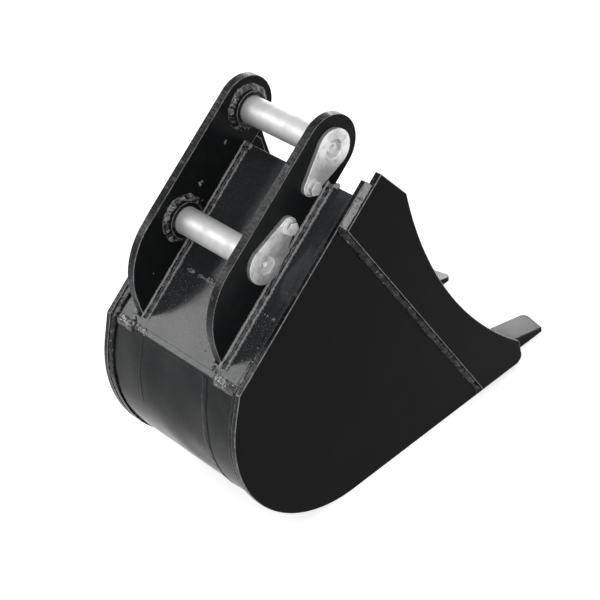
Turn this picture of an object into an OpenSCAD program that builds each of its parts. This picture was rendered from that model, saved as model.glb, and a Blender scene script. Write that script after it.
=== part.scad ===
// Pin-on backhoe bucket for a mini excavator: a welded steel shell with two hanger ears,
// two side cutters, a toothed lip and two quick-release pins held by flag plates.
// Millimetres. +X points from the heel to the teeth, +Y to the left and +Z up, with the
// floor of the bucket level. The origin is the middle of the stick pin's axis.

/* [Shell] */
// Width over the two side plates
body_w = 212; // [190:1:260]
// Thickness of a side plate
side_t = 6; // [5:0.5:8]
// Thickness of the rolled wrapper that makes the floor and the heel
wrapper_t = 6; // [5:0.5:8]
// Thickness of the flat back plate
back_t = 6; // [5:0.5:8]
// How far the side plates' edges stand out past the wrapper and the back plate
proud = 2.5; // [1.5:0.1:3.5]
// Height of the fold, where the back plate meets the wrapper, above the ground
fold_h = 221; // [205:1:235]
// Radius of the side plates' heel edge
heel_r = 145; // [135:1:150]
// Straight length of the heel edge just below the fold
heel_straight = 30; // [10:1:45]
// Slope of the back plate above level, in degrees
back_angle = 37.5; // [34:0.5:41]
// Length of the back plate from the fold to its front edge
back_l = 226; // [220:1:232]
// Length of a side plate's back edge from the fold to its tip
side_l = 243; // [238:1:246]
// Distance from the fold forward to a side plate's nose, above the lip
side_reach = 389; // [384:1:393]

/* [Lip and teeth] */
// Thickness of the lip plate
lip_t = 12; // [10:0.5:14]
// Depth of the lip plate from its rear edge to its cutting edge
lip_l = 72; // [60:1:80]
// Distance from the fold forward to the lip's cutting edge
lip_reach = 398; // [396:1:404]
// Length of the bevel on top of the cutting edge
lip_bevel_l = 9; // [4:0.5:14]
// Height of the bevel on top of the cutting edge
lip_bevel_h = 5; // [2:0.5:8]
// Width of a tooth
tooth_w = 35; // [28:1:45]
// Gap from a side plate's inner face to the tooth beside it
tooth_inset = 6; // [5:0.5:20]
// Height of a tooth's underside above the ground
tooth_lift = 5; // [2:0.5:8]
// Height of a tooth's shank above the lip plate
tooth_shank_h = 14; // [10:0.5:18]
// Length of the shank that lies on the lip plate
tooth_shank_l = 56; // [40:1:64]
// Length of a tooth past the cutting edge, at its inner corner
tooth_tip_l = 63; // [45:1:75]
// Thickness of a tooth at its tip
tooth_tip_t = 5; // [3:0.5:9]
// How much shorter a tooth is at its outer corner
tooth_skew = 8; // [0:0.5:14]
// Radius of a tooth's inner tip corner
tooth_corner_r = 7; // [3:0.5:12]

/* [Side cutters] */
// Thickness of a side cutter
cutter_t = 8; // [6:0.5:12]
// Distance along the back plate from the fold to a cutter's rear top corner
cutter_start = 192; // [184:1:200]
// Length of a cutter's top edge
cutter_top_l = 65; // [60:1:70]
// How far a cutter's top edge lies below the side plate's back edge
cutter_step = 5.7; // [4:0.1:8]
// Length of a cutter's straight front edge, square to its top edge
cutter_front_l = 51; // [45:1:56]
// Radius of a cutter's concave front edge
cutter_hollow_r = 465; // [430:5:520]
// How far the side plate's front edge lies behind the cutter's
cutter_lead = 8; // [5:0.5:11]
// Distance from the fold forward to a cutter's nose
cutter_reach = 395; // [391:1:400]
// Height of a cutter's straight nose
cutter_nose_h = 30; // [24:1:36]
// How far a cutter's nose leans back at its top
cutter_nose_lean = 3; // [0:0.5:6]
// Radius of a cutter's lower nose corner
cutter_nose_r = 8; // [4:0.5:12]
// Length of a cutter's bottom edge
cutter_bottom_l = 67; // [55:1:80]
// Height of a cutter's bottom edge above the ground
cutter_lift = 11; // [9:0.5:14]

/* [Ears] */
// Thickness of an ear
ear_t = 10; // [8:0.5:14]
// Gap between the two ears
ear_gap = 114; // [100:1:120]
// Distance along the back plate from the fold to an ear's rear foot
ear_start = 15; // [8:1:22]
// Radius of the ear's rounded end, about the stick pin
ear_end_r = 34.5; // [31:0.5:38]
// How much higher the ear's rear shoulder is than its round end
ear_rise = 1.8; // [0:0.1:4]
// Radius of the ear's rear shoulder
ear_shoulder_r = 80; // [60:1:84]
// Slope of the ear's rear foot above the back plate, in degrees
ear_foot_angle = 60; // [52:1:68]

/* [Pins] */
// Diameter of both pins
pin_d = 30; // [25:0.5:35]
// Distance between the two pins
pin_pitch = 131; // [124:1:140]
// Distance along the back plate from the fold to the stick pin
stick_pin_s = 255; // [252:1:258]
// Height of both pins over the line of the side plates' back edges
pin_h = 25; // [23:0.5:28]
// How far a pin sticks out past the left ear
pin_end_l = 4; // [2:0.5:8]
// Chamfer on a pin's left end
pin_chamfer = 2; // [1:0.5:3]
// Diameter of the turned-down end that holds the flag
spigot_d = 20; // [16:0.5:22]
// Diameter of the lathe's drilling in a pin's right end
drilling_d = 5; // [3:0.5:7]
// Depth of the lathe's drilling
drilling_depth = 2; // [1:0.5:3]

/* [Flags and bolts] */
// Thickness of a flag plate
flag_t = 5; // [4:0.5:8]
// Radius of a flag's large end, about the pin
flag_r = 21.5; // [19:0.5:22.5]
// Radius of a flag's small end, about the bolt
flag_tail_r = 10.5; // [9.5:0.5:12]
// Distance from the pin to the flag's bolt
flag_l = 43; // [40:0.5:46]
// Diameter of the bolt's shank
bolt_d = 8; // [6:1:10]
// Width of the bolt's hexagon head across its corners
bolt_head_w = 15; // [12:0.5:17]
// Height of the bolt's head
bolt_head_h = 5.5; // [4:0.5:7]
// Diameter of the bolt's washer
washer_d = 17; // [15.5:0.5:19]
// Thickness of the bolt's washer
washer_t = 1.5; // [1:0.1:2.5]

/* [Collars] */
// Outer diameter of the collar round each pin
collar_d = 40; // [37:0.5:42]
// How far a collar stands out from the ear's inner face
collar_l = 7.5; // [6:0.5:9]

/* [Welds] */
// Leg of the fillet welds along the ears
ear_weld = 6; // [4:0.5:8]
// Width of the weld ring round a collar
collar_weld = 6.5; // [4:0.5:8]
// Height of that ring against the collar
collar_weld_h = 3.5; // [2:0.5:5]
// Width of the weld beside the side plates' standing edges
edge_weld = 5.5; // [4:0.5:8]
// How far that weld stops below the side plates' edges
edge_weld_gap = 0.5; // [0.3:0.1:1]
// Leg of the fillet welds round a side cutter
cutter_weld = 6; // [4:0.5:7]
// Width of the weld in the fold
fold_weld_w = 9; // [6:0.5:12]
// Width of the weld across the back plate
seam_weld_w = 7; // [5:0.5:9]
// Distance along the back plate from the fold to the weld across it
seam_s = 82; // [70:1:95]
// Height of the welds' crowns
crown = 1; // [0.6:0.1:1.4]
// Leg of the welds beside the teeth
tooth_weld = 5; // [3:0.5:5]

/* [Hidden] */
$fn = 96;
// Clearance between a pin or a bolt and its hole, on the radius
running = 0.05;
// Overrun of every cutting shape
over = 1;
// Share of a plate's thickness that a weld's groove goes down
groove_share = 0.5;
// Share of the lip's depth that the teeth's shanks are chamfered over at the rear
shank_chamfer_share = 0.12;
// Clear length at the far end of a bolt's threaded hole
bolt_end_gap = 1;
// Straight pieces that stand for the heel's arc, and for a rounded corner
heel_steps = 42;
corner_steps = 8;
// Steel colours
black_paint = [0.09, 0.09, 0.10];
weld_paint = [0.16, 0.16, 0.17];
worn_paint = [0.13, 0.13, 0.14];
bright_steel = [0.80, 0.81, 0.82];
zinc = [0.72, 0.72, 0.70];

half_w = body_w / 2;
side_in = half_w - side_t;
ear_in = ear_gap / 2;
ear_out = ear_in + ear_t;

// Directions in the side view: along the back plate, and out of it toward the ears
along = [cos(back_angle), sin(back_angle)];
outward = [-sin(back_angle), cos(back_angle)];
fold = [0, fold_h];
function on_back(s, n) = fold + s * along + n * outward;

// The heel is a circle on the ground line whose tangent, heel_straight long, ends at the fold
heel_x = sqrt(heel_r * heel_r + heel_straight * heel_straight - (fold_h - heel_r) * (fold_h - heel_r));
heel = [heel_x, heel_r];
tangent_angle = 180 - atan2(fold_h - heel_r, heel_x) + atan2(heel_straight, heel_r);
heel_normal = [cos(tangent_angle), sin(tangent_angle)];
heel_up = [sin(tangent_angle), -cos(tangent_angle)];

// Point where the line n1.p = c1 meets the line n2.p = c2
function meet(n1, c1, n2, c2) =
    let (det = n1.x * n2.y - n1.y * n2.x) [(c1 * n2.y - c2 * n1.y) / det, (n1.x * c2 - n2.x * c1) / det];
// Corner of the fold at a depth under the heel's edge and a depth under the back edge
function fold_corner(heel_depth, back_depth) =
    meet(heel_normal, heel * heel_normal + heel_r - heel_depth, outward, fold * outward - back_depth);

fold_out = fold_corner(proud, proud);
fold_in = fold_corner(proud + wrapper_t, proud + back_t);
fold_groove = fold_out + groove_share * (fold_in - fold_out);

lip_start = lip_reach - lip_l;

// The cutter's hollow edge runs from its front corner to its nose
cutter_front = cutter_start + cutter_top_l;
hollow_top = on_back(cutter_front, -cutter_step - cutter_front_l);
hollow_low = [cutter_reach - cutter_nose_lean, cutter_lift + cutter_nose_h];
hollow_chord = hollow_low - hollow_top;
hollow_half = norm(hollow_chord) / 2;
hollow_depth = sqrt(cutter_hollow_r * cutter_hollow_r - hollow_half * hollow_half);
hollow_dir = [-hollow_chord.y, hollow_chord.x] / norm(hollow_chord);
hollow = (hollow_low + hollow_top) / 2 + hollow_depth * hollow_dir;
cutter_rear_top = on_back(cutter_start, -cutter_step);
cutter_front_top = on_back(cutter_front, -cutter_step);
cutter_rear_low = [cutter_reach - cutter_bottom_l, cutter_lift];

pin_r = pin_d / 2;
link_pin_s = stick_pin_s - pin_pitch;
stick_pin_at = on_back(stick_pin_s, pin_h);
link_pin_at = on_back(link_pin_s, pin_h);
ear_top = pin_h + ear_end_r;
ear_shoulder_top = ear_top + ear_rise;
ear_base = -proud;
ear_low = pin_h - ear_end_r;
// The shoulder's circle touches the rear foot's straight edge
foot_rise = ear_shoulder_top - ear_shoulder_r * (1 - cos(ear_foot_angle)) - ear_base;
foot_run = foot_rise / tan(ear_foot_angle);
shoulder_s = ear_start + foot_run + ear_shoulder_r * sin(ear_foot_angle);

tooth_out_y = side_in - tooth_inset;
tooth_in_y = tooth_out_y - tooth_w;
tooth_top = lip_t + tooth_shank_h;
shank_rear = lip_reach - lip_bevel_l - tooth_shank_l;
shank_chamfer = shank_chamfer_share * lip_l;
tooth_tip_x = lip_reach + tooth_tip_l;

// Moves the side view's frame, whose zero is under the fold, to the stick pin
module at_pin() { translate([-stick_pin_at.x, 0, -stick_pin_at.y]) children(); }

// Stands a side view outline up and gives it a width from y0 to y1
module slab(y0, y1) {
    translate([0, y1, 0]) rotate([90, 0, 0]) linear_extrude(y1 - y0) children();
}

// Frame whose X runs along the back plate from the fold and whose Z runs out of it
module back_frame() { translate([fold.x, 0, fold.y]) rotate([0, -back_angle, 0]) children(); }

// Mirrors the left side's pieces to the right
module side(s) { if (s < 0) mirror([0, 1, 0]) children(); else children(); }

// Round bar or hole along Y from y0 to y1 at a point of the side view
module bar(at, r, y0, y1) { translate([at.x, y1, at.y]) rotate([90, 0, 0]) cylinder(r = r, h = y1 - y0); }

// Points of an arc about c from one angle to another
function arc(c, r, from, to, steps) =
    [for (i = [0:steps]) let (a = from + (to - from) * i / steps) c + r * [cos(a), sin(a)]];
function flip(points) = [for (i = [len(points) - 1:-1:0]) points[i]];

// From the lip along the ground line and round the heel to the fold, a depth inside the edges
function under(heel_depth, back_depth) =
    concat([[lip_start, heel_depth]], arc(heel, heel_r - heel_depth, 270, tangent_angle, heel_steps),
           [fold_corner(heel_depth, back_depth)]);

// The weld groove in the fold, with its crown
module fold_bead_outline(top) {
    polygon([fold_out - fold_weld_w / 2 * heel_up, fold_out + top * (heel_normal + outward) / 2,
             fold_out + fold_weld_w / 2 * along, fold_groove]);
}

// The weld groove across the back plate, in the back plate's frame
module seam_bead_outline(top) {
    polygon([[seam_s - seam_weld_w / 2, -proud], [seam_s, top - proud], [seam_s + seam_weld_w / 2, -proud],
             [seam_s, -proud - groove_share * back_t]]);
}

// The seam has three stretches: between the ears and outside each of them
module seam_middle(top) { back_frame() slab(ear_weld - ear_in, ear_in - ear_weld) seam_bead_outline(top); }
module seam_outer(s, top) {
    side(s) back_frame() slab(ear_out + ear_weld, side_in - edge_weld) seam_bead_outline(top);
}
module seam_groove() {
    seam_middle(over);
    for (s = [-1, 1]) seam_outer(s, over);
}

module fold_stretch(top) { slab(-side_in + edge_weld, side_in - edge_weld) fold_bead_outline(top); }

module wrapper() {
    color(black_paint) at_pin() difference() {
        slab(-side_in, side_in)
            polygon(concat(under(proud, proud), flip(under(proud + wrapper_t, proud + back_t))));
        fold_stretch(over);
    }
}

module back_plate(s0_out, s0_in, s1) {
    back_frame() slab(-side_in, side_in) polygon([[s0_out, -proud], [s0_in, -proud - back_t],
                                                  [s1, -proud - back_t], [s1, -proud]]);
}

module back_plate_lower() {
    color(black_paint) at_pin() difference() {
        back_plate((fold_out - fold) * along, (fold_in - fold) * along, seam_s);
        fold_stretch(over);
        seam_groove();
    }
}

module back_plate_upper() {
    color(black_paint) at_pin() difference() {
        back_plate(seam_s, seam_s, back_l);
        seam_groove();
    }
}

module side_plate(s) {
    color(black_paint) at_pin() side(s) difference() {
        slab(side_in, half_w)
            polygon(concat(under(0, 0), [on_back(side_l, 0), on_back(side_l, -side_l),
                                         [side_reach, hollow_low.y], [side_reach, lip_t], [lip_start, lip_t]]));
        bar(hollow, cutter_hollow_r + cutter_lead, side_in - over, half_w + over);
    }
}

module side_cutter(s) {
    nose = [cutter_reach - cutter_nose_r, cutter_lift + cutter_nose_r];
    color(black_paint) at_pin() side(s) difference() {
        slab(half_w, half_w + cutter_t)
            polygon(concat([cutter_rear_low, cutter_rear_top, cutter_front_top, hollow_top, hollow_low],
                           arc(nose, cutter_nose_r, 0, -90, corner_steps)));
        bar(hollow, cutter_hollow_r, half_w - over, half_w + cutter_t + over);
    }
}

module lip_plate() {
    color(black_paint) at_pin() slab(-half_w, half_w)
        polygon([[lip_start, 0], [lip_reach, 0], [lip_reach, lip_t - lip_bevel_h],
                 [lip_reach - lip_bevel_l, lip_t], [lip_start, lip_t]]);
}

// A flat bar notched over the lip, with a sloping top and a skewed tip
module tooth(s) {
    corner = [tooth_tip_x - tooth_corner_r, tooth_in_y + tooth_corner_r];
    skew = atan2(tooth_skew, tooth_w - tooth_corner_r);
    outer_x = corner.x + (tooth_corner_r - (tooth_out_y - corner.y) * sin(skew)) / cos(skew);
    color(worn_paint) at_pin() side(s) intersection() {
        slab(tooth_in_y, tooth_out_y)
            polygon([[shank_rear, lip_t], [lip_reach - lip_bevel_l, lip_t], [lip_reach, lip_t - lip_bevel_h],
                     [lip_reach, tooth_lift], [tooth_tip_x, tooth_lift],
                     [tooth_tip_x, tooth_lift + tooth_tip_t], [lip_reach, tooth_top],
                     [shank_rear + shank_chamfer, tooth_top], [shank_rear, tooth_top - shank_chamfer]]);
        linear_extrude(tooth_top + over)
            polygon(concat([[shank_rear, tooth_in_y], [shank_rear, tooth_out_y], [outer_x, tooth_out_y]],
                           arc(corner, tooth_corner_r, skew, -90, corner_steps)));
    }
}

// Ear outline in the back plate's frame: foot, shoulder, straight top, round end and front hook
module ear_outline() {
    tangent_s = ear_start + foot_run;
    tangent_n = ear_base + foot_rise;
    polygon([[ear_start, ear_base], [back_l, ear_base], [back_l, ear_low], [stick_pin_s, ear_low],
             [stick_pin_s, ear_top], [shoulder_s, ear_shoulder_top], [shoulder_s, tangent_n],
             [tangent_s, tangent_n]]);
    translate([stick_pin_s, pin_h]) circle(r = ear_end_r);
    intersection() {
        translate([shoulder_s, ear_shoulder_top - ear_shoulder_r]) circle(r = ear_shoulder_r, $fn = 180);
        translate([tangent_s, tangent_n]) square([shoulder_s - tangent_s, ear_shoulder_r]);
    }
}

module ear(s) {
    color(black_paint) at_pin() difference() {
        side(s) back_frame() slab(ear_in, ear_out) ear_outline();
        side(s) bar(stick_pin_at, pin_r + running, ear_in - over, ear_out + over);
        side(s) bar(link_pin_at, pin_r + running, ear_in - over, ear_out + over);
        if (s < 0) for (at = [bolt_at(1), bolt_at(-1)])
            side(s) bar(at, bolt_d / 2 + running, ear_in - over, ear_out + over);
    }
}

// Place of a flag's bolt: 1 for the stick pin's, which points to the link pin, and -1 for the other
function bolt_at(which) = on_back(which > 0 ? stick_pin_s - flag_l : link_pin_s + flag_l, pin_h);

module collar(at, s) {
    color(black_paint) at_pin() side(s) difference() {
        bar(at, collar_d / 2, ear_in - collar_l, ear_in);
        bar(at, pin_r + running, ear_in - collar_l - over, ear_in + over);
    }
}

// A pin with a chamfered left end and a turned-down, drilled right end
module pin(at) {
    left = ear_out + pin_end_l;
    color(bright_steel) at_pin() difference() {
        union() {
            bar(at, pin_r, -ear_out, left - pin_chamfer);
            translate([at.x, left, at.y]) rotate([90, 0, 0])
                cylinder(r1 = pin_r - pin_chamfer, r2 = pin_r, h = pin_chamfer);
            bar(at, spigot_d / 2, -ear_out - flag_t, -ear_out);
        }
        translate([at.x, -ear_out - flag_t + drilling_depth, at.y]) rotate([90, 0, 0])
            cylinder(r1 = 0, r2 = drilling_d / 2, h = drilling_depth);
    }
}

// A teardrop plate on the right ear, from the pin to its bolt
module flag(at, which) {
    tangent = acos((flag_r - flag_tail_r) / flag_l);
    tail = [flag_l, 0];
    up = [cos(tangent), sin(tangent)];
    down = [cos(tangent), -sin(tangent)];
    color(zinc) at_pin() difference() {
        translate([at.x, 0, at.y]) rotate([0, -back_angle, 0]) slab(-ear_out - flag_t, -ear_out)
            mirror([which > 0 ? 1 : 0, 0]) {
                circle(r = flag_r);
                translate(tail) circle(r = flag_tail_r);
                polygon([flag_r * down, tail + flag_tail_r * down, tail + flag_tail_r * up, flag_r * up]);
            }
        bar(at, spigot_d / 2, -ear_out - flag_t - over, -ear_out + over);
        bar(bolt_at(which), bolt_d / 2 + running, -ear_out - flag_t - over, -ear_out + over);
    }
}

module washer(which) {
    face = -ear_out - flag_t;
    color(zinc) at_pin() difference() {
        bar(bolt_at(which), washer_d / 2, face - washer_t, face);
        bar(bolt_at(which), bolt_d / 2 + running, face - washer_t - over, face + over);
    }
}

module bolt(which) {
    face = -ear_out - flag_t - washer_t;
    at = bolt_at(which);
    color(zinc) at_pin() {
        translate([at.x, face, at.y]) rotate([0, -back_angle, 0]) rotate([90, 0, 0])
            cylinder(r = bolt_head_w / 2, h = bolt_head_h, $fn = 6);
        bar(at, bolt_d / 2, face, -ear_in - bolt_end_gap);
    }
}

// Fillet weld along X with its corner at the origin, one leg along +Y and one along +Z
module fillet(l, leg_y, leg_z) {
    rotate([90, 0, 90]) linear_extrude(l) polygon([[0, 0], [leg_y, 0], [0, leg_z]]);
}

module ear_weld_outer(s) {
    color(weld_paint) at_pin() side(s) back_frame()
        translate([ear_start, ear_out, ear_base]) fillet(back_l - ear_start, ear_weld, ear_weld);
}

// The inner weld gives way to the welds round the collars
module ear_weld_inner(s) {
    color(weld_paint) at_pin() side(s) difference() {
        back_frame() translate([ear_start, ear_in, ear_base]) mirror([0, 1, 0])
            fillet(back_l - ear_start, ear_weld, ear_weld);
        for (at = [stick_pin_at, link_pin_at])
            bar(at, collar_d / 2 + collar_weld, ear_in - ear_weld - over, ear_in + over);
    }
}

module collar_bead(at, s) {
    color(weld_paint) at_pin() side(s) translate([at.x, ear_in, at.y]) rotate([90, 0, 0]) rotate_extrude()
        polygon([[collar_d / 2, 0], [collar_d / 2 + collar_weld, 0], [collar_d / 2, collar_weld_h]]);
}

// Weld in the corner between the wrapper or back plate and the standing edge of a side plate
module edge_welds(s) {
    color(weld_paint) at_pin() side(s) slab(side_in - edge_weld, side_in)
        polygon(concat(under(edge_weld_gap, edge_weld_gap),
                       [on_back(back_l, -edge_weld_gap), on_back(back_l, -proud)], flip(under(proud, proud))));
}

// Weld up a cutter's rear edge, on the side plate's outer face, and round the corner at its top
module cutter_rear_bead(s) {
    run = cutter_rear_top - cutter_rear_low;
    out = [-run.y, run.x] / norm(run);
    color(weld_paint) at_pin() side(s) {
        translate([cutter_rear_low.x, half_w, cutter_rear_low.y]) rotate([0, -atan2(run.y, run.x), 0])
            fillet(norm(run), cutter_weld, cutter_weld);
        intersection() {
            translate([cutter_rear_top.x, half_w, cutter_rear_top.y]) rotate([-90, 0, 0])
                cylinder(r1 = cutter_weld, r2 = 0, h = cutter_weld);
            translate([cutter_rear_top.x, 0, cutter_rear_top.y]) slab(half_w, half_w + cutter_weld)
                polygon(2 * cutter_weld * [[0, 0], outward, outward + out, out]);
        }
    }
}

module cutter_top_bead(s) {
    color(weld_paint) at_pin() side(s) translate([cutter_rear_top.x, half_w, cutter_rear_top.y])
        rotate([0, -back_angle, 0]) fillet(side_l - cutter_start, cutter_weld, cutter_step);
}

// Weld beside a tooth's shank at the face y, reaching to the left with way 1 and to the right with -1
module tooth_bead(s, y, way) {
    color(weld_paint) at_pin() side(s) translate([shank_rear + shank_chamfer, y, lip_t])
        mirror([0, way > 0 ? 0 : 1, 0]) fillet(tooth_shank_l - shank_chamfer, tooth_weld, tooth_weld);
}

wrapper();
back_plate_lower();
back_plate_upper();
side_plate(1);  // side_plate_left
side_plate(-1);  // side_plate_right
side_cutter(1);  // side_cutter_left
side_cutter(-1);  // side_cutter_right
lip_plate();
tooth(1);  // tooth_left
tooth(-1);  // tooth_right
ear(1);  // ear_left
ear(-1);  // ear_right
collar(stick_pin_at, 1);  // stick_collar_left
collar(stick_pin_at, -1);  // stick_collar_right
collar(link_pin_at, 1);  // link_collar_left
collar(link_pin_at, -1);  // link_collar_right
pin(stick_pin_at);  // stick_pin
pin(link_pin_at);  // link_pin
flag(stick_pin_at, 1);  // stick_pin_flag
flag(link_pin_at, -1);  // link_pin_flag
bolt(1);  // stick_pin_bolt
bolt(-1);  // link_pin_bolt
washer(1);  // stick_pin_washer
washer(-1);  // link_pin_washer
ear_weld_outer(1);  // ear_weld_left_outer
ear_weld_inner(1);  // ear_weld_left_inner
ear_weld_outer(-1);  // ear_weld_right_outer
ear_weld_inner(-1);  // ear_weld_right_inner
collar_bead(stick_pin_at, 1);  // stick_collar_weld_left
collar_bead(stick_pin_at, -1);  // stick_collar_weld_right
collar_bead(link_pin_at, 1);  // link_collar_weld_left
collar_bead(link_pin_at, -1);  // link_collar_weld_right
edge_welds(1);  // edge_weld_left
edge_welds(-1);  // edge_weld_right
cutter_rear_bead(1);  // cutter_rear_weld_left
cutter_rear_bead(-1);  // cutter_rear_weld_right
cutter_top_bead(1);  // cutter_top_weld_left
cutter_top_bead(-1);  // cutter_top_weld_right
color(weld_paint) at_pin() fold_stretch(crown);  // fold_weld
color(weld_paint) at_pin() seam_middle(crown);  // seam_weld_middle
color(weld_paint) at_pin() seam_outer(1, crown);  // seam_weld_left
color(weld_paint) at_pin() seam_outer(-1, crown);  // seam_weld_right
tooth_bead(1, tooth_out_y, 1);  // tooth_weld_left_outer
tooth_bead(1, tooth_in_y, -1);  // tooth_weld_left_inner
tooth_bead(-1, tooth_out_y, 1);  // tooth_weld_right_outer
tooth_bead(-1, tooth_in_y, -1);  // tooth_weld_right_inner
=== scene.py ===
import math

import bmesh
import bpy
from mathutils import Matrix, Vector, noise


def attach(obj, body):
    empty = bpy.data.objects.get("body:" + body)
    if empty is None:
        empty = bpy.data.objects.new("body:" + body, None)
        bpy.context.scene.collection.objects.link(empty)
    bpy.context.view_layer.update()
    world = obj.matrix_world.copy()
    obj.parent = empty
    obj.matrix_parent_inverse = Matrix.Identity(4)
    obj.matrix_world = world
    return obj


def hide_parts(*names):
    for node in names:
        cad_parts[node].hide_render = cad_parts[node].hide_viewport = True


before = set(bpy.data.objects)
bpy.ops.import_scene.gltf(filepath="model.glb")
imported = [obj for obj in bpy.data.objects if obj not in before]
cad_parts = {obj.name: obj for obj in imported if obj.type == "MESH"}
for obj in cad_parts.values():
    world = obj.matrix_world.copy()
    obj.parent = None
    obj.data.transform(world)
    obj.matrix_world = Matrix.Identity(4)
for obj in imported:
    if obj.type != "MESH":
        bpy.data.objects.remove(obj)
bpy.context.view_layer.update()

MM = 0.001

# Places and sizes of the bucket, in millimetres, with the stick pin's axis as zero.
# s is a distance up the back plate from the fold, n one out of its face, and y one to the left.

BACK_ANGLE = math.radians(37.5)
ALONG = Vector((math.cos(BACK_ANGLE), 0, math.sin(BACK_ANGLE)))
OUTWARD = Vector((-math.sin(BACK_ANGLE), 0, math.cos(BACK_ANGLE)))
ACROSS = Vector((0, 1, 0))

GROUND = -396.068
REAR = -187.086
FOLD = Vector((REAR, 0, GROUND + 221))
SEAM_S = 82
PROUD = 2.5  # how far the side plates' edges stand above the back plate and the heel

HEEL_RADIUS = 145
HEEL_FLAT = 28  # the heel is flat this far below the fold, and round from there
HEEL = Vector((FOLD.x + 127.078, 0, GROUND + HEEL_RADIUS))
HEEL_ANGLE = math.radians(160.81)
HEEL_OUT = Vector((math.cos(HEEL_ANGLE), 0, math.sin(HEEL_ANGLE)))
HEEL_UP = Vector((math.sin(HEEL_ANGLE), 0, -math.cos(HEEL_ANGLE)))

HALF_W = 106  # from the middle to a side plate's outer face
CUTTER_TOP = (155.8 + REAR, 333.4 + GROUND)
CUTTER_FOOT = (328 + REAR, 11 + GROUND)

EAR_IN, EAR_OUT = 57, 67
STICK_PIN = Vector((0, 0, 0))
LINK_PIN = -131 * ALONG
FLAG_T = 5
PIN_END = -(EAR_OUT + FLAG_T)
PIN_SUNK = 4  # how deep a pin's end lies in its flag
FLAG_REACH = 22.5  # no weld comes nearer to the link pin's axis, so that its flag lies free

WELD_LEG = 6  # of the welds along the ears and the side cutters
RING_MIDDLE, RING_HALF = 23.3, 3.3  # radius of a collar's weld, and half its width
RING_RUN = 23.5  # length of that weld per radian
EDGE_WELD_Y, EDGE_WELD_HALF = 97.2, 2.8


def up(p):
    """How far up the back plate a point lies from the fold."""
    return (p - FOLD).dot(ALONG)


def plate_height(p):
    """How far a point lies out of the back plate's face."""
    return (p - FOLD).dot(OUTWARD) + PROUD


def heel_height(p):
    """How far a point lies out of the heel's flat face under the fold."""
    return (p - FOLD).dot(HEEL_OUT) + PROUD


def on_back(s, y, n):
    """A point by its place on the back plate."""
    return FOLD + s * ALONG + y * ACROSS + n * OUTWARD


# Nodes


class Value:
    """A socket of a node tree, on which sums are written as expressions."""

    def __init__(self, tree, socket):
        self.tree, self.socket = tree, socket

    def sum(self, operation, *values):
        return self.tree.node("ShaderNodeMath", {"operation": operation}, dict(enumerate(values)))

    def __add__(self, other): return self.sum("ADD", self, other)
    def __radd__(self, other): return self.sum("ADD", other, self)
    def __sub__(self, other): return self.sum("SUBTRACT", self, other)
    def __rsub__(self, other): return self.sum("SUBTRACT", other, self)
    def __mul__(self, other): return self.sum("MULTIPLY", self, other)
    def __gt__(self, other): return self.sum("GREATER_THAN", self, other)
    def sine(self): return self.sum("SINE", self)

    def ramp(self, low, high):
        """0 where the value is low, 1 where it is high, smooth in between."""
        return self.tree.node("ShaderNodeMapRange", {"interpolation_type": "SMOOTHSTEP"},
                              {"Value": self, "From Min": low, "From Max": high}, "Result")


class Nodes:
    """The nodes of a material or world. node() adds any of them, with its settings first."""

    def __init__(self, tree):
        self.nodes, self.links = tree.nodes, tree.links

    def feed(self, socket, value):
        if isinstance(value, Value):
            self.links.new(value.socket, socket)
        else:
            socket.default_value = value

    def node(self, kind, settings=None, inputs=None, output=0):
        made = self.nodes.new(kind)
        for name, value in (settings or {}).items():
            setattr(made, name, value)
        for name, value in (inputs or {}).items():
            self.feed(made.inputs[name], value)
        return Value(self, made.outputs[output])

    def seen(self):
        """1 for the camera's rays, also off gloss or through clear things, and 0 for the rest."""
        rays = self.node("ShaderNodeLightPath").socket.node.outputs
        camera, gloss, clear = (Value(self, rays[f"Is {kind} Ray"])
                                for kind in ("Camera", "Glossy", "Transmission"))
        return camera + gloss + clear > 0.5


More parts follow.
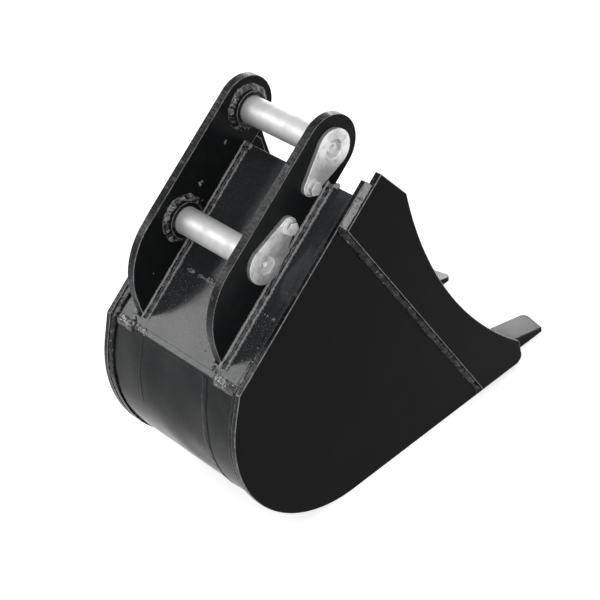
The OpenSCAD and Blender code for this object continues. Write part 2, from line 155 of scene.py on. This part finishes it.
class Shader(Nodes):
    """A material with noises and patterns in the object's own places, in metres."""

    def __init__(self, name, **constants):
        self.material = bpy.data.materials.new(name)
        self.material.use_nodes = True
        super().__init__(self.material.node_tree)
        self.surface = self.nodes["Principled BSDF"]
        self.set(**constants)
        self.place = self.node("ShaderNodeTexCoord", output="Object")

    def set(self, **values):
        for name, value in values.items():
            self.feed(self.surface.inputs[name.replace("_", " ")], value)

    def scaled(self, flat, across):
        """Places scaled by one number along X and Z and by another along Y."""
        return self.node("ShaderNodeMapping", {},
                         {"Vector": self.place, "Scale": (flat, across, flat)}, "Vector")

    def vector_sum(self, operation, a, b, output="Value"):
        return self.node("ShaderNodeVectorMath", {"operation": operation}, {0: a, 1: b}, output)

    def round(self, centre):
        """Distance in metres from an axis along Y through a point given in millimetres."""
        flat = self.vector_sum("MULTIPLY", self.place, (1, 0, 1), 0)
        return self.vector_sum("DISTANCE", flat, (centre.x * MM, 0, centre.z * MM))

    def up_plate(self):
        """Distance in metres up the back plate from the fold."""
        return self.vector_sum("DOT_PRODUCT", self.place, tuple(ALONG)) - FOLD.dot(ALONG) * MM

    def noise(self, per_metre, detail=2, rough=0.5, at=None, bend=0.0):
        inputs = {"Vector": at or self.place, "Scale": per_metre, "Detail": detail,
                  "Roughness": rough, "Distortion": bend}
        return self.node("ShaderNodeTexNoise", {}, inputs, "Fac")

    def specks(self, per_metre, size):
        """1 in small round spots, about per_metre of them along a metre."""
        gap = self.node("ShaderNodeTexVoronoi", {}, {"Vector": self.place, "Scale": per_metre},
                        "Distance")
        return 1 - gap.ramp(size * 0.6, size)

    def mix(self, share, a, b):
        """Colour a, turning to b as the share goes from 0 to 1."""
        return self.node("ShaderNodeMix", {"data_type": "RGBA"}, {0: share, 6: a, 7: b}, 2)

    def bump(self, height, distance, over=None):
        """A normal roughened by a height of so many metres, on top of another if there is one."""
        inputs = {"Height": height, "Distance": distance, "Strength": 1.0}
        if over is not None:
            inputs["Normal"] = over
        return self.node("ShaderNodeBump", {}, inputs, "Normal")


def grey(level, tint=0.0):
    """A linear colour of one brightness, bluer with a higher tint."""
    return (level * (1 - tint), level, level * (1 + tint), 1)


# Materials. A low IOR keeps the paint's reflections as weak as the photograph shows them.


def paint(name, ior, dust=0.02, shine=0.14, speckled=0.0, waves=0.0008, peel=0.00008, base=0.006):
    """Gloss black paint over rolled plate: slow waves, orange peel and settled dust.
    Speckled paint has pinholes too, thickest in a band above the fold."""
    s = Shader(name, IOR=ior)
    cloud = s.noise(38, detail=3, rough=0.6)
    colour = s.mix(cloud.ramp(0.45, 0.9) * dust, grey(base, 0.06), grey(0.2))
    rough = shine + cloud.ramp(0.4, 0.8) * 0.08
    wavy = s.bump(s.noise(11, detail=1, rough=0.4), waves)
    height = s.bump(s.noise(900, detail=2, rough=0.6), peel, wavy)
    if speckled:
        where = s.up_plate()
        dense = where.ramp(0.012, 0.03) * (1.25 - where.ramp(0.07, 0.09)) + 0.1
        dots = s.specks(380, 0.24) * (s.noise(90) * dense > 0.36)
        fine = s.specks(700, 0.24) * (s.noise(140) > 0.47)
        colour = s.mix(dots * speckled + fine * speckled * 0.7, colour, grey(0.5))
        rough = rough + dots * 0.3
    s.set(Base_Color=colour, Roughness=rough, Normal=height)
    return s.material


def cut_edge_paint():
    """The same paint over a torch-cut edge: drag lines run across the plate's thickness."""
    s = Shader("painted_cut_edge", IOR=1.25)
    drag = s.noise(1, detail=3, rough=0.62, at=s.scaled(330, 40), bend=0.4)
    blotch = s.noise(130, detail=3, rough=0.6)
    thin = blotch.ramp(0.5, 0.7) * drag.ramp(0.4, 0.6)
    s.set(Base_Color=s.mix(thin, grey(0.007), grey(0.09)),
          Roughness=0.16 + drag * 0.22,
          Normal=s.bump(drag, 0.00045, s.bump(blotch, 0.0006)))
    return s.material


def rim_highlight_paint():
    """Paint on a plate's rounded edge, coloured lighter in broken patches as a painted highlight
    along the rim.
    """
    s = Shader("rim_painted_highlight", IOR=1.7)
    highlight_patches = s.noise(150, detail=3, rough=0.7)
    s.set(Base_Color=s.mix(highlight_patches.ramp(0.35, 0.65), grey(0.05), grey(0.28)),
          Roughness=0.3 + highlight_patches * 0.1)
    return s.material


def weld_paint(name, ior=1.6, base=0.01):
    """Paint over a weld: glossy lumps, and a lighter colour, a painted highlight, where the
    painted_sheen attribute is 1.
    """
    s = Shader(name, IOR=ior)
    lumps = s.noise(300, detail=2, rough=0.6)
    scale = s.noise(170, detail=3, rough=0.65)
    painted_sheen = s.node("ShaderNodeAttribute", {"attribute_name": "painted_sheen"}, output="Fac")
    sheen_share = (painted_sheen + (scale - 0.5) * 2.2).ramp(0.3, 0.75)
    s.set(Base_Color=s.mix(sheen_share, grey(base), grey(0.36)),
          Roughness=0.16 + sheen_share * 0.25,
          Normal=s.bump(lumps, 0.0002, s.bump(scale, 0.0003)))
    return s.material


def bright_steel():
    """Bright zinc over turned bar: a satin sheen, faint turning lines, smudges and scratches."""
    s = Shader("plated_pin_steel", Metallic=0.6)
    turned = s.noise(1, detail=3, rough=0.6, at=s.scaled(40, 1400))
    smudge = s.noise(60, detail=3, rough=0.55)
    scratch = s.noise(1, detail=2, rough=0.7, at=s.scaled(900, 110)).ramp(0.71, 0.76)
    zinc = s.mix(smudge.ramp(0.35, 0.8), grey(0.7), grey(0.58))
    s.set(Base_Color=s.mix(scratch, zinc, grey(0.2)),
          Roughness=0.5 + smudge.ramp(0.3, 0.8) * 0.12,
          Normal=s.bump(turned, 0.00005))
    return s.material


def zinc_plate(name, centre):
    """Bright zinc over a sawn and faced plate: mottled, with the lathe's rings round the pin."""
    s = Shader(name, Metallic=0.7)
    mottle = s.noise(130, detail=4, rough=0.65)
    bloom = s.noise(45, detail=3, rough=0.6)
    ring_pitch = 0.0012
    away = s.round(centre)
    rings = (away * (math.tau / ring_pitch) + mottle * 2.5).sine() * (1 - away.ramp(0.014, 0.023))
    bright = s.mix(bloom.ramp(0.4, 0.7), grey(0.92), grey(0.78))
    s.set(Base_Color=s.mix(mottle.ramp(0.42, 0.72) * 0.8, bright, grey(0.5, -0.02)),
          Roughness=0.3 + mottle * 0.16 + rings * 0.04,
          Normal=s.bump(rings, 0.00006, s.bump(s.noise(800, detail=3, rough=0.6), 0.00012)))
    return s.material


# One black paint on every plate. Its base colour is lighter on the back plate, the heel and the
# ears than on the side plates: painted light, set to how bright each part looks.
SHELL_PAINT = paint("shell_gloss_paint", 1.17, dust=0.12, shine=0.17, waves=0.009, base=0.025)
BACK_PAINT = paint("back_gloss_paint", 1.26, shine=0.1, speckled=0.45, base=0.05)
FLANK_PAINT = paint("flank_gloss_paint", 1.12, dust=0.01, shine=0.18)
EAR_PAINT = paint("ear_gloss_paint", 1.12, dust=0.05, shine=0.2, base=0.014)
RIM_PAINT = rim_highlight_paint()
TOOTH_PAINT = paint("tooth_gloss_paint", 1.45, dust=0.05, shine=0.3, peel=0.00015)
EDGE_PAINT = cut_edge_paint()
WELD_PAINT = weld_paint("painted_weld")
DULL_WELD_PAINT = weld_paint("painted_flat_weld", 1.25, 0.005)
STEEL = bright_steel()
ZINC = {"stick_pin": zinc_plate("zinc_stick_flag", STICK_PIN),
        "link_pin": zinc_plate("zinc_link_flag", LINK_PIN)}
FAR_OFF = Vector((0, 0, 900))
BOLT_ZINC = zinc_plate("zinc_bolt", FAR_OFF)  # no rings reach the bolts


# Pieces


def finish_piece(name, bm, body, materials, replaces=()):
    """Makes the piece's object, lets it ride on its body and stand for its CAD nodes."""
    bmesh.ops.recalc_face_normals(bm, faces=bm.faces)
    mesh = bpy.data.meshes.new(name)
    bm.to_mesh(mesh)
    bm.free()
    mesh.polygons.foreach_set("use_smooth", [True] * len(mesh.polygons))
    for material in materials:
        mesh.materials.append(material)
    piece = bpy.data.objects.new(name, mesh)
    bpy.context.scene.collection.objects.link(piece)
    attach(piece, body)
    if replaces:
        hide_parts(*replaces)
    return piece


def node_copy(node, shaped=None):
    """A copy of a CAD node's mesh with its loose triangles merged.
    shaped(p) moves its points, in millimetres."""
    bm = bmesh.new()
    bm.from_mesh(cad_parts[node].data)
    bmesh.ops.remove_doubles(bm, verts=bm.verts, dist=0.002 * MM)
    bmesh.ops.dissolve_limit(bm, angle_limit=math.radians(0.2), verts=bm.verts, edges=bm.edges)
    if shaped:
        for v in bm.verts:
            v.co = shaped(v.co / MM) * MM
    return bm


def edged(node, body, materials, edge=0.8, angle=20, shaped=None):
    """A CAD node's shape with its sharp edges rounded, as plate has under paint.
    A second material goes on the cut edges, and a third on the rounding."""
    bm = node_copy(node, shaped)
    sharp = [e for e in bm.edges
             if len(e.link_faces) == 2 and e.calc_face_angle(0) > math.radians(angle)]
    rounding = bmesh.ops.bevel(bm, geom=sharp, offset=edge * MM, offset_type="OFFSET",
                               segments=3, profile=0.5, affect="EDGES", clamp_overlap=True,
                               material=-1)["faces"]
    if len(materials) > 1:
        bm.normal_update()
        for f in bm.faces:
            f.material_index = int(abs(f.normal.y) < 0.97)
        for f in rounding:
            f.material_index = len(materials) - 1
    piece = finish_piece(node + "_shape", bm, body, materials, [node])
    piece.modifiers.new("flat faces", "WEIGHTED_NORMAL").weight = 100


def sink_end(p):
    """Brings a pin's right end into its flag."""
    return p + ACROSS * PIN_SUNK if p.y < PIN_END + 3 else p


edged("wrapper", "bucket", [SHELL_PAINT])
edged("lip_plate", "bucket", [SHELL_PAINT])
for node in ("back_plate_lower", "back_plate_upper"):
    edged(node, "bucket", [BACK_PAINT, BACK_PAINT, RIM_PAINT], 0.6)
for way in ("left", "right"):
    for node in ("side_plate_", "side_cutter_"):
        edged(node + way, "bucket", [FLANK_PAINT, EDGE_PAINT, RIM_PAINT])
    edged("ear_" + way, "bucket", [EAR_PAINT, EDGE_PAINT, RIM_PAINT])
    edged("tooth_" + way, "bucket", [FLANK_PAINT, TOOTH_PAINT, TOOTH_PAINT], 0.9)
    for node in ("stick_collar_", "link_collar_"):
        edged(node + way, "bucket", [EDGE_PAINT, EDGE_PAINT, RIM_PAINT], 0.5)
for pin in ("stick_pin", "link_pin"):
    bolt = pin.replace("pin", "bolt")
    edged(pin, pin, [STEEL], 0.4, angle=30, shaped=sink_end)
    edged(pin + "_flag", pin, [ZINC[pin]], 0.7)
    edged(pin + "_bolt", bolt, [BOLT_ZINC], 0.8, angle=40)
    edged(pin + "_washer", bolt, [BOLT_ZINC], 0.4)

# The low ring turned on a pin's end, as radii and heights out of the end's face
END_STEP = [(2.7, -0.4), (2.7, 0.35), (3.0, 0.6), (6.0, 0.6), (6.6, 0.2), (6.8, -0.4), (2.7, -0.4)]


def turned_disc(name, body, centre, y, profile):
    """A low disc turned about a pin's axis, from radii and heights out of the face at y."""
    bm = bmesh.new()
    rim = [bm.verts.new((centre + Vector((r, y - h, 0))) * MM) for r, h in profile]
    edges = [bm.edges.new(pair) for pair in zip(rim, rim[1:])]
    bmesh.ops.spin(bm, geom=rim + edges, cent=centre * MM, axis=(0, 1, 0), angle=math.tau,
                   steps=64, use_merge=True)
    bmesh.ops.remove_doubles(bm, verts=bm.verts, dist=0.001 * MM)
    finish_piece(name, bm, body, [ZINC[body]])


for pin, place in (("stick_pin", STICK_PIN), ("link_pin", LINK_PIN)):
    turned_disc(pin + "_end_step", pin, place, PIN_END + PIN_SUNK, END_STEP)


# Welds

GRAIN_SIZE = 2.8
RIPPLE_BOW = 1.3  # how far a ripple's ends lag behind its middle, in radians
WANDER, WANDER_SIZE = 2.5, 14  # how unevenly the ripples follow each other
HOLLOW_HALF = 0.42  # half width of the sunk middle, as a share of the weld's half width
TOE_STEEP, TOE_START = 1.9, 0.35  # how the painted highlight comes up toward a hollow weld's toes


def rough(p, size, seed=0.0):
    """Smooth noise of one size in millimetres, from -1 to 1."""
    return noise.noise(Vector((p.x / size + seed, p.y / size - seed, p.z / size + 2 * seed)))


def remeshed(bm, voxel):
    """The same solid in even small faces, so that it can be modelled like wax."""
    mesh = bpy.data.meshes.new("wax")
    bm.to_mesh(mesh)
    bm.free()
    wax = bpy.data.objects.new("wax", mesh)
    bpy.context.scene.collection.objects.link(wax)
    remesh = wax.modifiers.new("even faces", "REMESH")
    remesh.mode, remesh.voxel_size, remesh.adaptivity = "VOXEL", voxel * MM, 0
    bpy.context.view_layer.update()
    depsgraph = bpy.context.evaluated_depsgraph_get()
    shaped = bpy.data.meshes.new_from_object(wax.evaluated_get(depsgraph))
    out = bmesh.new()
    out.from_mesh(shaped)
    bpy.data.objects.remove(wax)
    for gone in (mesh, shaped):
        bpy.data.meshes.remove(gone)
    return out


def weld(node, laid, seed, swell=0.3, lumps=0.9, ripple=0.1, pitch=4.5, hollow=0.0, voxel=0.8,
         materials=(WELD_PAINT,), keep=None, pick=None, spread=None, painted_sheen=0.4, size=6.5, grain=0.3):
    """A CAD weld as it was really laid: lumpy, rippled and, where hollow, sunk along its middle.
    laid(p) gives how far along the weld a point lies, in mm, and how far across it, from -1 to 1.
    swell and lumps are in mm, or functions of a point. size is the lumps' size, in mm, and grain
    how rough they are.
    painted_sheen is how much of the weld is coloured lighter as a painted highlight, or of its toes
    where it is hollow.
    keep(p, normal) moves a point of the finished weld, and pick(p, normal) gives a face's material.
    spread(p) moves a point of the CAD weld first, so that a flush one reaches under its plates."""
    bm = remeshed(node_copy(node, spread), voxel)
    bmesh.ops.smooth_vert(bm, verts=bm.verts, factor=0.5, use_axis_x=True, use_axis_y=True,
                          use_axis_z=True)
    bm.normal_update()
    sheen_layer = bm.verts.layers.float.new("painted_sheen")
    moved = []
    for v in bm.verts:
        p = v.co / MM
        run, across = laid(p)
        grown = swell(p) if callable(swell) else swell
        tall = lumps(p) if callable(lumps) else lumps
        off = grown + tall * (rough(p, size, seed) + grain * rough(p, GRAIN_SIZE, seed + 5))
        off += ripple * math.sin(math.tau * run / pitch + RIPPLE_BOW * across * across
                                 + WANDER * rough(p, WANDER_SIZE, seed))
        off -= hollow * math.exp(-(across / HOLLOW_HALF) ** 2) * (1 + rough(p, 5, seed + 9))
        # Painted highlight: how much lighter colour each point gets, rising toward a hollow weld's
        # toes
        toe = min(1.0, max(0.0, abs(across) * TOE_STEEP - TOE_START)) if hollow else 1.0
        v[sheen_layer] = painted_sheen * toe
        q = p + v.normal * off
        moved.append(keep(q, v.normal) if keep else q)
    for v, q in zip(bm.verts, moved):
        v.co = q * MM
    if pick:
        bm.normal_update()
        for f in bm.faces:
            f.material_index = pick(f.calc_center_median() / MM, f.normal)
    finish_piece(node + "_bead", bm, "bucket", materials, [node])


def straight_across(p):
    """Laid from side to side."""
    return p.y, 0.0


def straight_forward(p):
    """Laid from the rear to the front."""
    return p.x, 0.0


# The ears' feet and collars


def beside_ear(y, out, way):
    """Laid along an ear's face at y, on its outer side (out 1) or inner one (-1)."""
    return lambda p: (up(p), (out * (way * p.y - y) - plate_height(p)) / WELD_LEG)


def round_collar(centre):
    """Laid in a ring round a collar."""
    def laid(p):
        s, n = (p - centre).dot(ALONG), (p - centre).dot(OUTWARD)
        return math.atan2(n, s) * RING_RUN, (math.hypot(n, s) - RING_MIDDLE) / RING_HALF
    return laid


def clear_of_flag(p, normal):
    """Keeps the right ear's outer weld clear of the link pin's flag."""
    away = Vector((p.x - LINK_PIN.x, 0, p.z - LINK_PIN.z))
    return p + away.normalized() * max(0.0, FLAG_REACH - away.length)


for side, way in (("left", 1), ("right", -1)):
    for face, y, out in (("outer", EAR_OUT, 1), ("inner", EAR_IN, -1)):
        by_flag = (side, face) == ("right", "outer")
        weld(f"ear_weld_{side}_{face}", beside_ear(y, out, way), 3.1 + way + out * 0.3,
             swell=0.9 + 0.35 * out, lumps=0.7, hollow=1.1, painted_sheen=0.95,
             keep=clear_of_flag if by_flag else None)
    for pin, place in (("stick", STICK_PIN), ("link", LINK_PIN)):
        weld(f"{pin}_collar_weld_{side}", round_collar(place), 7.7 + way + place.x / 90,
             swell=0.7, lumps=1.7, voxel=0.7, painted_sheen=0.4, size=10, grain=0.2)


# The side plates' edges


def round_heel(p):
    """Laid round the heel, just inside a side plate."""
    d = p - HEEL
    return math.atan2(d.z, d.x) * HEEL_RADIUS, (abs(p.y) - EDGE_WELD_Y) / EDGE_WELD_HALF


WIDER, WIDER_UNEVEN = 3.4, 0.9  # how far the inner side comes out, and how unevenly
SINK_SLOPE, SINK_MOST = 1.5, 1.6  # how steeply the outer side sinks, and how deep


def widened(p, normal):
    """Brings a weld's inner side out over the shell, and sinks its outer one below the edge."""
    if p.y < EDGE_WELD_Y - 0.7:
        p.y -= WIDER + WIDER_UNEVEN * rough(p, 9, 4.4)
    elif p.y > EDGE_WELD_Y + 0.4 and abs(normal.y) < 0.8:
        p -= normal * min(SINK_MOST, (p.y - EDGE_WELD_Y - 0.4) * SINK_SLOPE)
    return p


weld("edge_weld_left", round_heel, 11.3, swell=0.1, lumps=0.8, pitch=9, voxel=0.9,
     materials=[DULL_WELD_PAINT], keep=widened, painted_sheen=0.16, size=20, grain=0.1)
weld("edge_weld_right", round_heel, 13.9, swell=-0.25, lumps=0.35, ripple=0.05, pitch=5,
     voxel=0.9, materials=[BACK_PAINT, SHELL_PAINT],
     pick=lambda p, normal: int(normal.dot(OUTWARD) < 0.9))


# The fold and the back plate's seam. Both are ground flush between the ears, where a weld's
# surface is kept a hair above the plate's, so that neither shows through the other.

FLUSH, SEAM_FLUSH = 0.06, 0.07
FOLD_STANDS, SEAM_STANDS = 0.35, 0.3  # from these heights on a weld has its own paint
GROUND_TO, STANDS_FROM = 60, 66  # y, on either side: the fold's weld rises between them
FOLD_SPREAD, SEAM_SPREAD = 2.0, 2.4  # how far flush welds reach under the plates
STREAK_HALF = 1.7
STREAK_FROM, STREAK_FADE, STREAK_TO = 22, 8, -60  # the streak comes up over STREAK_FADE in y
SEAM_SUNK = 0.5


def outside(p):
    """1 outside the ears, 0 between them."""
    return min(1.0, max(0.0, (abs(p.y) - GROUND_TO) / (STANDS_FROM - GROUND_TO)))


def fold_crease(p, normal):
    """Grinds the weld to a crisp crease between the ears, and lets it stand outside them."""
    high, heel = plate_height(p), heel_height(p)
    stands = outside(p) > 0.5 and max(high, heel) > FLUSH
    if stands or normal.dot((OUTWARD + HEEL_OUT).normalized()) < 0.5:
        return p
    worn = FLUSH + 0.15 * max(0.0, rough(p, 7, 2.2))
    return p + (OUTWARD * (FLUSH - high) if high > heel else HEEL_OUT * (worn - heel))


def spread_fold(p):
    """Brings the weld's edges under the back plate and the heel."""
    if up(p) > 2:
        return p + ALONG * FOLD_SPREAD
    return p - HEEL_UP * FOLD_SPREAD if (p - FOLD).dot(HEEL_UP) < -2 else p


def fold_material(p, normal):
    """Weld where it stands, and the plates' own paint where it is flush."""
    if outside(p) > 0.8 and max(plate_height(p), heel_height(p)) > FOLD_STANDS:
        return 2
    return int(normal.dot(HEEL_OUT) > normal.dot(OUTWARD))


weld("fold_weld", straight_across, 17.3, swell=lambda p: 0.35 * outside(p),
     lumps=lambda p: 0.15 + 1.2 * outside(p), ripple=0.05, pitch=4,
     materials=[BACK_PAINT, SHELL_PAINT, WELD_PAINT], keep=fold_crease, pick=fold_material,
     spread=spread_fold, painted_sheen=0.3, size=11, grain=0.15)


def over_back(p, normal):
    """Keeps the seam's weld from sinking below the plate's face."""
    high = plate_height(p)
    flush = normal.dot(OUTWARD) > 0.6 and high < SEAM_FLUSH
    return p + OUTWARD * (SEAM_FLUSH - high) if flush else p


def spread_seam(p):
    """Brings the weld's edges under the plates on both sides of the seam."""
    s = up(p) - SEAM_S
    return p + ALONG * (SEAM_SPREAD if s > 1 else -SEAM_SPREAD if s < -1 else 0)


def seam_swell(p):
    """From half way across to the right ear, the seam's weld stands as one narrow streak."""
    across = abs(up(p) - SEAM_S - 0.7 * rough(p, 16, 8.8))
    started = min(1.0, max(0.0, (STREAK_FROM - p.y) / STREAK_FADE)) * (p.y > STREAK_TO)
    return max(0.0, 1 - across / STREAK_HALF) * started - SEAM_SUNK


for node, lumps in (("seam_weld_middle", 1.0), ("seam_weld_left", 0.9), ("seam_weld_right", 0.3)):
    weld(node, straight_across, 19.9, swell=seam_swell, lumps=lumps, pitch=3.5, voxel=0.7,
         materials=[BACK_PAINT, WELD_PAINT], keep=over_back,
         pick=lambda p, normal: int(plate_height(p) > SEAM_STANDS), spread=spread_seam,
         painted_sheen=0.6, size=10, grain=0.12)


# The side cutters and teeth


def beside_cutter(start, along, rear, way):
    """Laid from a corner of a side cutter along one of its edges, with rear pointing off it."""
    return lambda p: ((p - start).dot(along),
                      ((p - start).dot(rear) - way * (p.y - start.y)) / WELD_LEG)


for side, way in (("left", 1), ("right", -1)):
    top, foot = (Vector((x, way * HALF_W, z)) for x, z in (CUTTER_TOP, CUTTER_FOOT))
    down = (foot - top).normalized()
    rear = Vector((down.z, 0, -down.x))
    weld(f"cutter_rear_weld_{side}", beside_cutter(top, down, rear, way), 23.1 + way,
         swell=0.0, lumps=2.3, ripple=0.3, pitch=17, materials=[DULL_WELD_PAINT],
         painted_sheen=0.16, size=19, grain=0.1)
    weld(f"cutter_top_weld_{side}", beside_cutter(top, ALONG, OUTWARD, way), 25.7 + way,
         swell=0.2, lumps=0.7, voxel=0.7, painted_sheen=0.75)
    for face in ("outer", "inner"):
        weld(f"tooth_weld_{side}_{face}", straight_forward, 29.3 + way,
             lumps=0.8, ripple=0.3, pitch=4, hollow=0.2)


# Spatter and the weld ends

DROPS_APART = 1.5  # in radii of the first drop
DROP_SHARE = 0.62  # radius of the other drops, as a share of the first one's
LUMPY = 0.75
PRESSED = 0.45  # share of its height that a drop loses against the plate
# How much painted highlight, as lighter colour, the lumps and spatter get
BLOB_SHEEN = 0.55


def blobs(name, spots, seed, flat=None, material=WELD_PAINT):
    """Lumps of weld metal and spatter: each spot is a place, a radius and how many drops it has.
    They lie flat against the face that the direction flat points out of."""
    bm = bmesh.new()
    sheen_layer = bm.verts.layers.float.new("painted_sheen")
    for place, size, drops in spots:
        for j in range(drops):
            aside = Vector([rough(place, 3, seed + turn + 7 * j) for turn in (0, 3, 5)])
            aside *= size * (DROPS_APART if drops > 1 else 0)
            if flat is not None:
                aside -= flat * aside.dot(flat)
            radius = size * (1.0 if j == 0 else DROP_SHARE)
            for v in bmesh.ops.create_icosphere(bm, subdivisions=3, radius=radius)["verts"]:
                q = v.co * (1 + LUMPY * rough(v.co + place, size * 0.9, seed + j))
                if flat is not None:
                    q -= flat * q.dot(flat) * PRESSED
                v.co = (q + place + aside) * MM
                v[sheen_layer] = BLOB_SHEEN
    finish_piece(name, bm, "bucket", [material])


def placed(rows):
    """Spots from rows of a place on the back plate, a radius and a count of drops."""
    return [(on_back(s, y, n), size, drops) for s, y, n, size, drops in rows]


# FOOT rows give s and y, the others s, y, n, a radius and a count of drops
NUB_N = -2.3
PLATE_N = -2.6
FOOT_LEFT = [(3.5, 45), (3.5, 50), (4.5, 55), (5.5, 60), (6.5, 65), (8, 69)]
FOOT_RIGHT = [(10, -57), (8.5, -62), (7, -66), (5.5, -71), (4, -76)]
WELD_ENDS = [(223, 50, -0.5, 2.8, 3), (220, 53, 0.5, 2.4, 2), (227, -75, -1.2, 3.2, 3),
             (221, -72, 0.5, 2.6, 2), (225, 70, -0.6, 2.6, 2), (225, -54, -0.6, 2.6, 2)]
EAR_SPATTER = [(212.8, EAR_IN, 27.1, 1.8, 5), (165.2, EAR_IN, 27.8, 2.4, 3),
               (150, EAR_IN, 12, 0.8, 1), (60, EAR_IN, 20, 0.7, 1)]
PLATE_SPATTER = [(20, -37, PLATE_N, 0.9, 1), (38, 8, PLATE_N, 0.8, 1), (110, -90, PLATE_N, 0.9, 2),
                 (57, 12, PLATE_N, 0.7, 1), (70, 34, PLATE_N, 0.6, 1), (50, -93, PLATE_N, 0.8, 1)]

blobs("ear_foot_nubs", placed((s, y, NUB_N, 2.6, 2) for s, y in FOOT_LEFT + FOOT_RIGHT),
      2.2, OUTWARD)
blobs("ear_weld_ends", placed(WELD_ENDS), 5.1)
blobs("ear_spatter", placed(EAR_SPATTER), 8.8, ACROSS)
blobs("plate_spatter", placed(PLATE_SPATTER), 9.9, OUTWARD)


# The seams round the heel

GROOVE = 0.15
SEAM_ROOT = -0.4  # the ridge's outer edge lies this deep in the shell
SEAM_PITCH = 1.2  # from one row of points to the next
SEAM_START = 1.5  # from the fold


def down_heel(t, y, out):
    """A point of the shell, t down from the fold, y to the left and out of its face."""
    radius = HEEL_RADIUS - PROUD
    if t < HEEL_FLAT:
        return HEEL + (radius + out) * HEEL_OUT + (HEEL_FLAT - t) * HEEL_UP + y * ACROSS
    a = HEEL_ANGLE + (t - HEEL_FLAT) / radius
    return HEEL + (radius + out) * Vector((math.cos(a), 0, math.sin(a))) + y * ACROSS


def heel_seam(name, where, width, height, length, seed):
    """A ground weld round the heel: a low ridge with a fine groove on either side.
    where(t) gives its middle's y at a distance t down from the fold."""
    bm = bmesh.new()
    bmesh.ops.create_grid(bm, x_segments=int(length / SEAM_PITCH), y_segments=12, size=1)
    for v in bm.verts:
        t, share = SEAM_START + (v.co.x + 1) / 2 * length, v.co.y
        spot = Vector((t, 0, 0))
        half = width * (0.5 + 0.12 * rough(spot, 11, seed))
        y = where(t) + share * half + 0.4 * rough(spot, 17, seed + 2)
        worn = 1 + 0.5 * rough(Vector((t, y, 0)), 6, seed)
        top = height * (1 - share ** 4) * worn - GROOVE * share ** 8
        v.co = down_heel(t, y, top if abs(share) < 0.99 else SEAM_ROOT) * MM
    finish_piece(name, bm, "bucket", [SHELL_PAINT])


heel_seam("heel_seam_right", lambda t: -51 - 7 * min(1.0, t / 60) ** 0.8,
          width=9.0, height=0.7, length=230, seed=3.3)
heel_seam("heel_seam_left", lambda t: 48.0, width=4.0, height=0.3, length=80, seed=6.1)

# Marks beside the right one: distance down from the fold, y and radius
HEEL_MARKS = [(6, -49, 0.9), (12, -55, 1.0), (18, -51, 1.2), (21, -56, 0.9), (25, -50.5, 0.9)]
blobs("heel_seam_marks", [(down_heel(t, y, -0.2), size, 2) for t, y, size in HEEL_MARKS],
      4.7, HEEL_OUT, DULL_WELD_PAINT)


# Camera, as the photograph's: its place and axes come from the bucket's straight edges

SENSOR = 36
FOCAL_PIXELS, PHOTO_PIXELS = 1700, 600
RIGHT = Vector((0.72454, -0.67951, -0.11537))
DOWN = Vector((-0.48809, -0.38768, -0.78196))
FORWARD = Vector((0.48663, 0.62287, -0.61256))
CAMERA_PLACE = Vector((-0.90255, -1.13858, 0.90413))

camera = bpy.data.objects.new("camera", bpy.data.cameras.new("camera"))
bpy.context.scene.collection.objects.link(camera)
bpy.context.scene.camera = camera
camera.data.sensor_width = SENSOR
camera.data.lens = SENSOR * FOCAL_PIXELS / PHOTO_PIXELS
camera.data.clip_start, camera.data.clip_end = 0.05, 50
turn = Matrix((RIGHT, -DOWN, -FORWARD)).transposed()
camera.matrix_world = Matrix.Translation(CAMERA_PLACE) @ turn.to_4x4()


# Floor, light and surroundings. What the camera sees of the floor and the world is white, as in
# the photograph, while the light that they give the bucket is weaker.

bpy.context.scene.view_settings.view_transform = "Standard"

floor_bm = bmesh.new()
bmesh.ops.create_grid(floor_bm, x_segments=1, y_segments=1, size=6)
for v in floor_bm.verts:
    v.co.z = GROUND * MM
floor_mesh = bpy.data.meshes.new("floor")
floor_bm.to_mesh(floor_mesh)
floor_bm.free()
floor = bpy.data.objects.new("floor", floor_mesh)
bpy.context.scene.collection.objects.link(floor)
ground = Shader("pale_floor", Base_Color=grey(0.86), Roughness=0.9)
lift = ground.node("ShaderNodeEmission", {}, {"Color": grey(1), "Strength": 0.72})
lit = Value(ground, ground.surface.outputs[0])
added = ground.node("ShaderNodeAddShader", {}, {0: lit, 1: lift})
shown = ground.node("ShaderNodeMixShader", {}, {0: ground.seen(), 1: lit, 2: added})
ground.feed(ground.nodes["Material Output"].inputs["Surface"], shown)
floor_mesh.materials.append(ground.material)

world = bpy.data.worlds.new("studio")
bpy.context.scene.world = world
world.use_nodes = True
sky = Nodes(world.node_tree)
dim = sky.nodes["Background"]
sky.feed(dim.inputs["Color"], grey(1))
sky.feed(dim.inputs["Strength"], 0.35)
white = sky.node("ShaderNodeBackground", {}, {"Color": grey(1), "Strength": 1.0})
dim = Value(sky, dim.outputs[0])
shown = sky.node("ShaderNodeMixShader", {}, {0: sky.seen(), 1: dim, 2: white})
sky.feed(sky.nodes["World Output"].inputs["Surface"], shown)

MIDDLE = Vector((0.0, 0, -0.2))


def softbox(name, toward, distance, width, height, brightness):
    """An area lamp in a direction from the bucket's middle, facing it, as bright as asked."""
    lamp = bpy.data.lights.new(name, "AREA")
    lamp.shape, lamp.size, lamp.size_y = "RECTANGLE", width, height
    lamp.energy = brightness * math.pi * width * height
    o = bpy.data.objects.new(name, lamp)
    bpy.context.scene.collection.objects.link(o)
    way = Vector(toward).normalized()
    o.location = MIDDLE + way * distance
    o.rotation_mode = "QUATERNION"
    o.rotation_quaternion = (-way).to_track_quat("-Z", "Y")


softbox("back_softbox", (-0.47, 0.66, 0.55), 2.4, 1.1, 0.45, 10)
softbox("front_softbox", (1.95, 1.5, 0.55), 2.5, 0.8, 0.5, 10)
softbox("rear_softbox", (-0.37, -0.78, 0.52), 2.4, 0.5, 0.4, 10)
softbox("top_softbox", (0.1, -0.2, 1.0), 2.4, 1.2, 1.0, 1.6)
